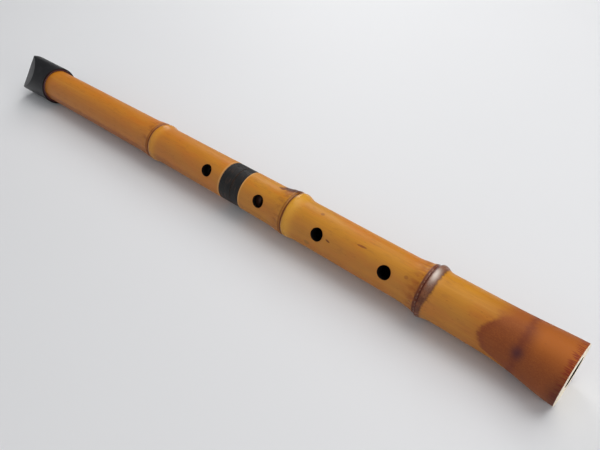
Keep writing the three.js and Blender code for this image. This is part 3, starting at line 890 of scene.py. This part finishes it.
@dataclass
class Workshop:
    """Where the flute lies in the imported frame, and how finished pieces go there.

    Attributes:
        culm: Shape of the stem.
        sides: Steps round a turned piece.
        mount_height: Height of the root mount's point over the centre line.
        rim_break: Rounding of the root rim, which shows cut bamboo.
        hole_radius: Radius of a hole.
        hole_rim: Rounding of a hole's mouth.
        hole_steps: Steps round a hole.
        place: From millimetres in the flute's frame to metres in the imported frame.
        turn: The same without the change of units.
        finishes: The materials by name.
    """

    culm: Culm
    sides: int = 160
    mount_height: float = 15.0
    rim_break: float = 0.3
    hole_radius: float = 4.85
    hole_rim: float = 0.28
    hole_steps: int = 72
    place: Matrix = field(init=False)
    turn: Matrix = field(init=False)
    finishes: dict[str, bpy.types.Material] = field(init=False, default_factory=dict)

    def __post_init__(self) -> None:
        """Reads the flute's place from the mount on its slanted root end."""
        mount = next(item for item in frame["record"]["mounts"] if item["name"] == "root_end_face")
        culm, faces = self.culm, Vector(mount["axis"])
        cut = math.radians(culm.root_cut)
        own = Vector((math.cos(cut), 0.0, 0.0)) + outwards(culm.root_cut_roll) * math.sin(cut)
        tilt = math.atan2(faces.z, faces.x) - math.atan2(own.z, own.x)
        turn = Matrix.Rotation(-tilt, 4, "Y")
        point = Vector((-culm.slant(0.0, 0.0, self.mount_height), 0.0, self.mount_height)) * MM
        origin = Vector(mount["pos_m"]) - turn @ point
        self.turn = Matrix.Translation(origin) @ turn
        self.place = self.turn @ Matrix.Scale(MM, 4)

    def grown(self, name: str, outline: Outline,
              skin_radius: Callable[[float], float] = lambda station: BEYOND) -> bpy.types.Object:
        """Turns an outline and bends it along the culm.

        Args:
            name: Name of the piece.
            outline: Its outline.
            skin_radius: Least radius, by station, at which a vertex belongs to the skin.

        Returns:
            The piece, in the flute's frame.
        """
        mesh = turned(outline, self.sides)
        self.culm.grow(mesh, skin_radius)
        return as_object(mesh, name)

    def straight(self, mesh: bmesh.types.BMesh, name: str) -> bpy.types.Object:
        """Returns a piece that is straight along the centre line as it runs at the seam."""
        shift = self.culm.centre(self.culm.seam)
        bmesh.ops.translate(mesh, verts=mesh.verts, vec=(0, shift.y, shift.z))
        return as_object(mesh, name)

    def lining(self, name: str, start: float, end: float, step: float = 15.0) -> bpy.types.Object:
        """Returns the lacquered lining of the bore between two stations."""
        outside = self.culm.bored(start, end, step, self.culm.lining_wall)
        return self.grown(name, [*outside, *self.culm.bored(end, start, step)])

    def seat(self, piece: bpy.types.Object, body: str, slot: str, nodes: Sequence[str],
             finishes: Sequence[str], sharp: float = 40.0) -> None:
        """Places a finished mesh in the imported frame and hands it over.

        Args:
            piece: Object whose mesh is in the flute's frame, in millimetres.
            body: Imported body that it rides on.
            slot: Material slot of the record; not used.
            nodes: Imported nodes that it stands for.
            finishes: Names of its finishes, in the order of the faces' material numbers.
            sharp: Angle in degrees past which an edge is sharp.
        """
        piece.data.transform(self.place)
        piece.data.polygons.foreach_set("use_smooth", [True] * len(piece.data.polygons))
        piece.data.set_sharp_from_angle(angle=math.radians(sharp))
        layers = [face.material_index for face in piece.data.polygons]
        piece.data.materials.clear()
        for name in finishes:
            piece.data.materials.append(self.finishes[name])
        piece.data.polygons.foreach_set("material_index", layers)
        piece.data.update()
        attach(piece, body)
        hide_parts(*nodes)
        piece.data.calc_loop_triangles()
        LOG.info("%s: %d triangles, rides on %s", piece.name, len(piece.data.loop_triangles), body)

    def hole_cutter(self, hole: Hole, clear: float = 0.2, top: float = 6.0,
                    bottom: float = 2.0) -> bmesh.types.BMesh:
        """Returns a cutter for one hole whose mouth opens in a rounded rim that follows the skin.

        Args:
            hole: The hole.
            clear: How far the rim's slope goes on past the skin.
            top: Height of the cutter over the skin.
            bottom: Height of its foot over the centre line.

        Returns:
            The cutter, in the flute's frame.
        """
        culm, radius, rim = self.culm, self.hole_radius, self.hole_rim
        skin = culm.surface(hole.station, hole.roll)
        rounded = [(radius + rim * (1 - math.cos(turn)), 0.0, -rim * (1 - math.sin(turn)))
                   for turn in map(math.radians, (0, 15, 30, 45, 58, 70))]
        over = [(rounded[-1][0] + clear, 0.0, clear), (radius + rim, 0.0, top), (0.0, 0.0, top)]
        mesh = bmesh.new()
        spin(mesh, [(0.0, 0.0, -skin), (radius, 0.0, -skin), *rounded, *over], (0, 0, 1), self.hole_steps,
             closed=False)
        for vertex in mesh.verts:
            if vertex.co.z > -skin / 2:
                own = culm.surface(hole.station - vertex.co.x, hole.roll)
                vertex.co.z += math.sqrt(max(own ** 2 - vertex.co.y ** 2, 0.0))
            else:
                vertex.co.z = bottom
        out, rootwards = outwards(hole.roll), Vector((1.0, 0.0, 0.0))
        turn = Matrix((rootwards, out.cross(rootwards), out)).transposed().to_4x4()
        place = Matrix.Translation(culm.centre(hole.station)) @ turn
        bmesh.ops.transform(mesh, matrix=place, verts=mesh.verts)
        return mesh

    def drill(self, piece: bpy.types.Object, start: float, end: float) -> None:
        """Cuts every hole that lies between two stations."""
        for hole in self.culm.holes:
            if start < hole.station < end:
                carve(piece, self.hole_cutter(hole))

    def paint_faces(self, piece: bpy.types.Object, start: float, end: float) -> None:
        """Gives each face of a culm section its layer.

        Args:
            piece: The section.
            start: First station of its binding's seat, which is lacquered.
            end: Last station of that seat.
        """
        culm = self.culm
        hole_reach, past_rim, past_bore = 6.0, 0.16, 2.2
        end_depth, wall_depth, seat_depth = 0.3, 0.62, 0.75
        for face in piece.data.polygons:
            station = -face.center.x
            middle = culm.centre(station)
            away = Vector((0.0, face.center.y - middle.y, face.center.z - middle.z))
            roll = math.degrees(math.atan2(-away.y, away.z))
            station -= culm.slant(station, roll, away.length)
            depth = culm.surface(station, roll) - away.length
            bored = depth > past_rim and any(abs(station - hole.station) < hole_reach for hole in culm.holes)
            seated = start < station < end and depth > seat_depth
            layer = Layer.SKIN
            if bored or seated or away.length < culm.bore(station) + past_bore:
                layer = Layer.LACQUER
            elif depth > wall_depth and abs(face.normal.dot(away.normalized())) < 0.8:
                layer = Layer.CUT
            at_end = abs(face.normal.x) > 0.9 and not start - 0.2 < station < end + 0.2
            on_rim = station < self.rim_break - 0.02 and away.length > culm.bore(0) + culm.lining_wall
            if (at_end and depth > end_depth and not bored) or on_rim:
                layer = Layer.CUT
            face.material_index = layer.value


@dataclass
class Winding:
    """One strand of rattan wound side by side in its seat, trimmed square at both ends.

    Attributes:
        shop: Where it goes.
        start: First station.
        end: Last station.
        turns: Visible turns.
        seat: Radius that it is wound on.
        height: Thickness of the strand.
        fill: Share of each turn's room that the strand takes.
        flat: Powers that square its sides and its top; 1 is round.
        corners: Points round the strand.
        steps: Steps in each turn.
    """

    shop: Workshop
    start: float
    end: float
    turns: int
    seat: float = 14.0
    height: float = 1.3
    fill: float = 0.95
    flat: tuple[float, float] = (0.6, 0.75)
    corners: int = 14
    steps: int = 96

    def build(self, name: str, body: str, node: str) -> None:
        """Winds the strand and hands it over."""
        def squared(value: float, power: float) -> float:
            """Returns a sine or cosine pushed towards 1, with its sign kept."""
            return math.copysign(abs(value) ** power, value)

        pitch = (self.end - self.start) / self.turns
        first, middle = pitch / 2 - self.start, self.seat + self.height / 2
        profile = [(first + pitch * self.fill / 2 * squared(math.cos(turn), self.flat[0]), 0.0,
                    middle + self.height / 2 * squared(math.sin(turn), self.flat[1]))
                   for turn in (TURN * place / self.corners for place in range(self.corners))]
        mesh = bmesh.new()
        spin(mesh, profile, (1, 0, 0), self.steps, turns=self.turns + 1, rise=-pitch / self.steps)
        for station, side in ((self.start, 1), (self.end, -1)):
            cut_off(mesh, (-station, 0, 0), (side, 0, 0))
        bmesh.ops.recalc_face_normals(mesh, faces=mesh.faces)
        self.shop.seat(self.shop.straight(mesh, name), body, "rattan", [node], ["rattan"], 55.0)


@dataclass
class LowerSection:
    """The root half: culm with its flared end, lined bore, joint socket and binding."""

    shop: Workshop
    edge_break: float = 0.3
    shoulder_break: float = 0.25
    lip: float = 0.2
    lip_sink: float = 0.1
    lip_break: float = 0.12
    socket_wall: float = 1.0
    socket_chamfer: float = 0.3
    seat_wall: float = 1.45
    floor_room: float = 1.0
    lining_setback: float = 0.5

    def build(self) -> None:
        """Builds and dresses all pieces of this section."""
        shop, culm, body = self.shop, self.shop.culm, "lower_section"
        end, seat = culm.seam - culm.gap / 2, culm.seam - culm.lower_binding
        floor, bore = culm.seam - culm.tenon_reach - self.floor_room, culm.binding_seat - self.seat_wall

        piece = self.culm_piece(seat, end, floor, bore)
        shop.drill(piece, 0, end)
        shop.paint_faces(piece, seat + 0.02, end - self.lip)
        shop.seat(piece, body, "bamboo", ["lower_culm"], ["skin", "cut", "lacquer"])

        piece = shop.lining("bore_lining_lower", self.lining_setback, floor - culm.gap)
        shop.drill(piece, 0, floor - culm.gap)
        shop.seat(piece, body, "lacquer", ["lower_bore_lining"], ["bore"])

        start, outer, inner = floor + culm.gap, bore - culm.gap, bore - culm.gap - self.socket_wall
        outline = [(start, outer), (end, outer), (end, inner + self.socket_chamfer),
                   (end - self.socket_chamfer, inner), (start, inner)]
        piece = shop.grown("socket_sleeve", outline)
        shop.drill(piece, floor - shop.hole_radius, end)
        shop.seat(piece, body, "lacquer", ["joint_socket"], ["lacquer"])

        winding = Winding(shop, seat + culm.gap / 2, end - self.lip, 7)
        winding.build("binding_lower", body, "lower_joint_binding")

    def culm_piece(self, seat: float, end: float, floor: float, bore: float) -> bpy.types.Object:
        """Turns the lower culm.

        Args:
            seat: Station where the binding's seat starts.
            end: Station of its mouth end.
            floor: Station of the socket's floor.
            bore: Radius of the counterbore that holds the socket.

        Returns:
            The culm without its holes, flat where it lies on the ground.
        """
        culm, edge, soft = self.shop.culm, self.edge_break, self.shoulder_break
        skin = culm.skin(edge, seat)
        rim = [(edge * (1 - math.sin(turn)), skin[0][1] - edge * (1 - math.cos(turn)))
               for turn in map(math.radians, (90, 60, 30))]
        shoulder = skin[-1][1]
        top = culm.barrel(end) - self.lip_sink
        outline = [*rim, *skin[:-1], (seat - soft, shoulder), (seat, shoulder - soft),
                   (seat, culm.binding_seat), (end - self.lip, culm.binding_seat),
                   (end - self.lip, top), (end - self.lip_break, top),
                   (end, top - self.lip_break), (end, bore), (floor, bore),
                   *culm.bored(floor, 0, 20, culm.lining_wall + culm.gap)]
        mesh = turned(outline, self.shop.sides)
        culm.grow(mesh, lambda station: culm.skin_radius if station < seat + 0.01 else BEYOND)
        ground = (Matrix.Scale(1 / MM, 4) @ self.shop.place).inverted()
        cut_off(mesh, ground.to_translation(), ground.to_3x3() @ Vector((0, 0, -1)))
        return as_object(mesh, "culm_lower")


@dataclass
class UpperSection:
    """The mouth half: culm with its blowing edge, lined bore, tenon, horn inlay and binding."""

    shop: Workshop
    shoulder_break: float = 0.25
    tenon_radius: float = 10.875
    tenon_chamfer: float = 0.5
    grooves: tuple[float, float] = (0.3, 0.62)
    groove_depth: float = 0.2
    edge: Facet = Facet(6.8, 27.0, 50.6)
    inlay_start: float = 1.5
    inlay_length: float = 13.0
    inlay_edge_width: float = 15.0
    inlay_back_width: float = 9.5
    inlay_depth: float = 2.2
    inlay_reach: float = 36.6

    def build(self) -> None:
        """Builds and dresses all pieces of this section."""
        shop, culm, body = self.shop, self.shop.culm, "upper_section"
        start, end = culm.seam + culm.gap / 2, culm.length
        seat, top = culm.seam + culm.upper_binding, culm.seam + culm.tenon_hold
        tenon, step = self.tenon_radius + culm.gap, top + culm.gap

        skin = culm.skin(seat, end)
        shoulder = skin[0][1]
        soft = self.shoulder_break
        outline = [(start, culm.binding_seat), (seat, culm.binding_seat), (seat, shoulder - soft),
                   (seat + soft, shoulder), *skin[1:],
                   *culm.bored(end, step, 20, culm.lining_wall + culm.gap), (step, tenon), (start, tenon)]
        piece = shop.grown("culm_upper", outline,
                           lambda station: culm.skin_radius if station > seat - 0.01 else BEYOND)
        self.cut_mouth(piece)
        shop.drill(piece, start, end)
        shop.paint_faces(piece, start, seat - 0.02)
        shop.seat(piece, body, "bamboo", ["upper_culm"], ["skin", "cut", "lacquer"])

        piece = shop.lining("bore_lining_upper", step + culm.gap, end)
        self.cut_mouth(piece)
        shop.drill(piece, step + culm.gap, end)
        shop.seat(piece, body, "lacquer", ["upper_bore_lining"], ["bore"])

        piece = self.tenon(culm.seam - culm.tenon_reach, top)
        shop.seat(piece, body, "tenon", ["joint_tenon"], ["tenon"], 25.0)

        outside = [(station, culm.barrel(station)) for station in even(end - self.inlay_reach, end, 6)]
        piece = shop.grown("edge_inlay", [*outside, *culm.bored(end, end - self.inlay_reach, 6)])
        carve(piece, self.inlay_prism(0.0), "INTERSECT")
        carve(piece, self.edge.block(self.mouth))
        shop.seat(piece, body, "horn", ["blowing_edge_inlay"], ["horn"], 30.0)

        Winding(shop, start, seat - culm.gap / 2, 11).build("binding_upper", body, "upper_joint_binding")

    @property
    def mouth(self) -> Vector:
        """Middle of the mouth end."""
        return self.shop.culm.centre(self.shop.culm.length)

    def cut_mouth(self, piece: bpy.types.Object) -> None:
        """Cuts the blowing edge and the seat of its inlay."""
        carve(piece, self.edge.block(self.mouth))
        carve(piece, self.inlay_prism(self.shop.culm.gap))

    def tenon(self, tip: float, top: float) -> bpy.types.Object:
        """Returns the tenon from tip to top, with a chamfered tip and two fine grip grooves."""
        culm, chamfer, outer = self.shop.culm, self.tenon_chamfer, self.tenon_radius
        inner, bottom = culm.bore_joint, outer - self.groove_depth
        outline = [(tip + chamfer, inner), (tip, inner + chamfer), (tip, outer - chamfer),
                   (tip + chamfer, outer)]
        for share in self.grooves:
            middle = tip + culm.tenon_reach * share
            outline += [(middle + past, radius) for past, radius in
                        ((-0.5, outer), (-0.3, bottom), (0.3, bottom), (0.5, outer))]
        mesh = turned([*outline, (top, outer), (top, inner)], self.shop.sides)
        piece = self.shop.straight(mesh, "tenon_sleeve")
        self.shop.drill(piece, tip, top + self.shop.hole_radius)
        return piece

    def inlay_prism(self, grow: float, reach: float = 40.0) -> bmesh.types.BMesh:
        """Returns the prism of the horn inlay, grown all round, reaching out through the facet."""
        start, end = self.inlay_start - grow, self.inlay_start + self.inlay_length + grow
        wide, narrow = self.inlay_edge_width / 2 + grow, self.inlay_back_width / 2 + grow
        depth = self.inlay_depth + grow
        mesh = bmesh.new()
        corners = [mesh.verts.new((x, y, -depth)) for x, y in
                   ((start, -wide), (end, -narrow), (end, narrow), (start, wide))]
        top = bmesh.ops.extrude_face_region(mesh, geom=[mesh.faces.new(corners)])
        raised = [item for item in top["geom"] if isinstance(item, bmesh.types.BMVert)]
        bmesh.ops.translate(mesh, verts=raised, vec=(0, 0, depth + reach))
        bmesh.ops.recalc_face_normals(mesh, faces=mesh.faces)
        bmesh.ops.transform(mesh, matrix=self.edge.axes(self.mouth), verts=mesh.verts)
        return mesh


@dataclass
class MouthCap:
    """The slanted black cap that covers the blowing edge, and its felt lining."""

    shop: Workshop
    radius: float = 17.54
    wall: float = 1.2
    overhang: float = 6.0
    reach: float = 36.6
    round_edge: float = 0.9
    round_steps: int = 4
    hard_angle: float = 18.0
    facet: Facet = Facet(6.9, 23.5, 50.6)
    felt_setback: float = 0.2
    felt_length: float = 14.3
    felt_inner: float = 14.87
    felt_room: float = 0.05
    felt_soft: float = 0.25

    @property
    def place(self) -> Matrix:
        """From the cap's frame, whose x is minus the distance past the mouth, to the flute's."""
        culm, straight = self.shop.culm, Vector((-1.0, 0.0, 0.0))
        slope = outwards(culm.bow_roll) * (-4 * culm.bow / culm.length) + straight
        turn = straight.rotation_difference(slope.normalized()).to_matrix().to_4x4()
        return Matrix.Translation(culm.centre(culm.length)) @ turn

    def build(self) -> None:
        """Builds the cap as a drawn cup with a facet, rounded edges and an even wall, and its felt."""
        mesh = bmesh.new()
        bmesh.ops.create_cone(mesh, cap_ends=True, segments=self.shop.sides, radius1=self.radius,
                              radius2=self.radius, depth=self.reach + self.overhang)
        middle = Matrix.Translation(((self.reach - self.overhang) / 2, 0, 0))
        bmesh.ops.transform(mesh, matrix=middle @ Matrix.Rotation(math.radians(90), 4, "Y"), verts=mesh.verts)
        axes = self.facet.axes(Vector((-self.overhang, 0, 0)))
        cut_off(mesh, axes.to_translation(), axes.to_3x3() @ Vector((0, 0, 1)))
        mouth = [face for face in mesh.faces if face.calc_center_median().x > self.reach - WELD]
        bmesh.ops.delete(mesh, geom=mouth, context="FACES_ONLY")
        bmesh.ops.recalc_face_normals(mesh, faces=mesh.faces)
        if sum(face.normal.dot(face.calc_center_median()) for face in mesh.faces) < 0:
            bmesh.ops.reverse_faces(mesh, faces=mesh.faces)
        hard = [edge for edge in mesh.edges
                if not edge.is_boundary and edge.calc_face_angle(0.0) > math.radians(self.hard_angle)]
        bmesh.ops.bevel(mesh, geom=hard, offset=self.round_edge, offset_type="OFFSET", affect="EDGES",
                        segments=self.round_steps, profile=0.5, material=-1, clamp_overlap=True)
        bmesh.ops.transform(mesh, matrix=self.place, verts=mesh.verts)
        piece = as_object(mesh, "cap_shell")
        wall = piece.modifiers.new("wall", "SOLIDIFY")
        wall.thickness, wall.offset, wall.use_even_offset = self.wall, -1.0, True
        set_modifiers(piece)
        self.shop.seat(piece, "mouth_cap_body", "cap", ["mouth_cap"], ["cap"], 30.0)
        self.lining()

    def lining(self) -> None:
        """Builds the felt strip, soft at its edges."""
        start, soft = self.felt_setback - self.reach, self.felt_soft
        end, inner = start + self.felt_length, self.felt_inner
        outer = self.radius - self.wall - self.felt_room
        mesh = turned([(start, outer), (end, outer), (end, inner + soft), (end - soft, inner),
                       (start + soft, inner), (start, inner + soft)], self.shop.sides)
        bmesh.ops.transform(mesh, matrix=self.place, verts=mesh.verts)
        self.shop.seat(as_object(mesh, "cap_felt"), "mouth_cap_body", "felt", ["cap_lining"], ["felt"], 50.0)


@dataclass
class Studio:
    """Pale floor, soft lights and the camera at the photograph's angle."""

    shop: Workshop
    lens: float = 34.14
    eye: tuple[float, float, float] = (-4.95, -235.9, 277.6)
    azimuth: float = 39.57
    elevation: float = 42.70
    room: tuple[float, float, float, float] = (-0.7, 0.5, 0.52, 0.14)
    floor_size: float = 6.0

    def build(self) -> None:
        """Builds the floor, the lights, the world and the camera."""
        self.floor()
        for lamp in (("key", 12.5, 1.2, (0.35, 0.45, 1.3), (0.0, 0.0, 0.0)),
                     ("window", 4.0, 0.45, (-0.53, 0.85, 0.7), (0.1, 0.0, 0.0)),
                     ("side", 3.0, 0.5, (1.25, -0.15, 0.4), (0.27, 0.0, 0.02))):
            self.lamp(*lamp)
        self.world()
        self.camera()

    def floor(self) -> None:
        """Lays the floor that the flute rests on."""
        mesh = bmesh.new()
        bmesh.ops.create_grid(mesh, x_segments=1, y_segments=1, size=self.floor_size / 2)
        plane = as_object(mesh, "floor")
        shader = Shader("pale floor", Matrix.Identity(4))
        shader.colour = srgb(226, 226, 227)
        shader.lay(shader.noise(shader.place, 0.01) * 0.06, srgb(206, 206, 210))
        plane.data.materials.append(shader.finish(roughness=0.6, specular_ior_level=0.25))

    @staticmethod
    def lamp(name: str, energy: float, size: float, place: Sequence[float], target: Sequence[float]) -> None:
        """Hangs one soft square light at a place, turned to a target."""
        data = bpy.data.lights.new(name, "AREA")
        data.shape, data.size, data.energy = "SQUARE", size, energy
        lamp = bpy.data.objects.new(name, data)
        lamp.location = place
        lamp.rotation_euler = (Vector(target) - Vector(place)).to_track_quat("-Z", "Y").to_euler()
        bpy.context.scene.collection.objects.link(lamp)

    def world(self) -> None:
        """Sets a world that is brighter behind the flute than in front of it."""
        world = bpy.data.worlds.new("studio")
        bpy.context.scene.world = world
        world.use_nodes = True
        tree = world.node_tree
        background = tree.nodes["Background"]
        background.inputs["Color"].default_value = (0.95, 0.97, 1.0, 1.0)
        direction = tree.nodes.new("ShaderNodeTexCoord")
        parts = tree.nodes.new("ShaderNodeSeparateXYZ")
        front = tree.nodes.new("ShaderNodeMapRange")
        front.interpolation_type = "SMOOTHSTEP"
        for socket, value in zip(front.inputs[1:5], self.room):
            socket.default_value = value
        tree.links.new(direction.outputs["Generated"], parts.inputs[0])
        tree.links.new(parts.outputs["Y"], front.inputs[0])
        tree.links.new(front.outputs[0], background.inputs["Strength"])

    def camera(self) -> None:
        """Sets the camera where the photograph was taken from."""
        data = bpy.data.cameras.new("camera")
        data.lens = self.lens
        data.clip_start = 0.01
        camera = bpy.data.objects.new("camera", data)
        turn, lift = math.radians(self.azimuth), math.radians(self.elevation)
        forward = Vector((-math.sin(turn) * math.cos(lift), math.cos(turn) * math.cos(lift), -math.sin(lift)))
        own = forward.to_track_quat("-Z", "Y").to_matrix().to_4x4()
        camera.matrix_world = self.shop.turn @ Matrix.Translation(Vector(self.eye) * MM) @ own
        bpy.context.scene.collection.objects.link(camera)
        bpy.context.scene.camera = camera


def main() -> None:
    """Builds the flute's sections in order, then the studio."""
    shop = Workshop(Culm())
    finishes = Finishes(shop.turn)
    shop.finishes = {
        "skin": BambooSkin(shop.culm, shop.turn).build(),
        "cut": finishes.cut_bamboo(),
        "lacquer": finishes.lacquer("black lacquer", srgb(13, 9, 9), srgb(18, 11, 10), 0.75, 0.12),
        "bore": finishes.lacquer("bore lacquer", srgb(11, 8, 8), srgb(17, 9, 9), 0.5, 0.25),
        "tenon": finishes.lacquer("tenon lacquer", srgb(58, 30, 20), srgb(40, 20, 14), 0.35),
        "rattan": finishes.rattan(),
        "horn": finishes.horn(),
        "cap": finishes.cap(),
        "felt": finishes.felt(),
    }
    LowerSection(shop).build()
    UpperSection(shop).build()
    MouthCap(shop).build()
    Studio(shop).build()
    bpy.context.scene.view_settings.view_transform = "Standard"


if __name__ == "__main__":
    main()
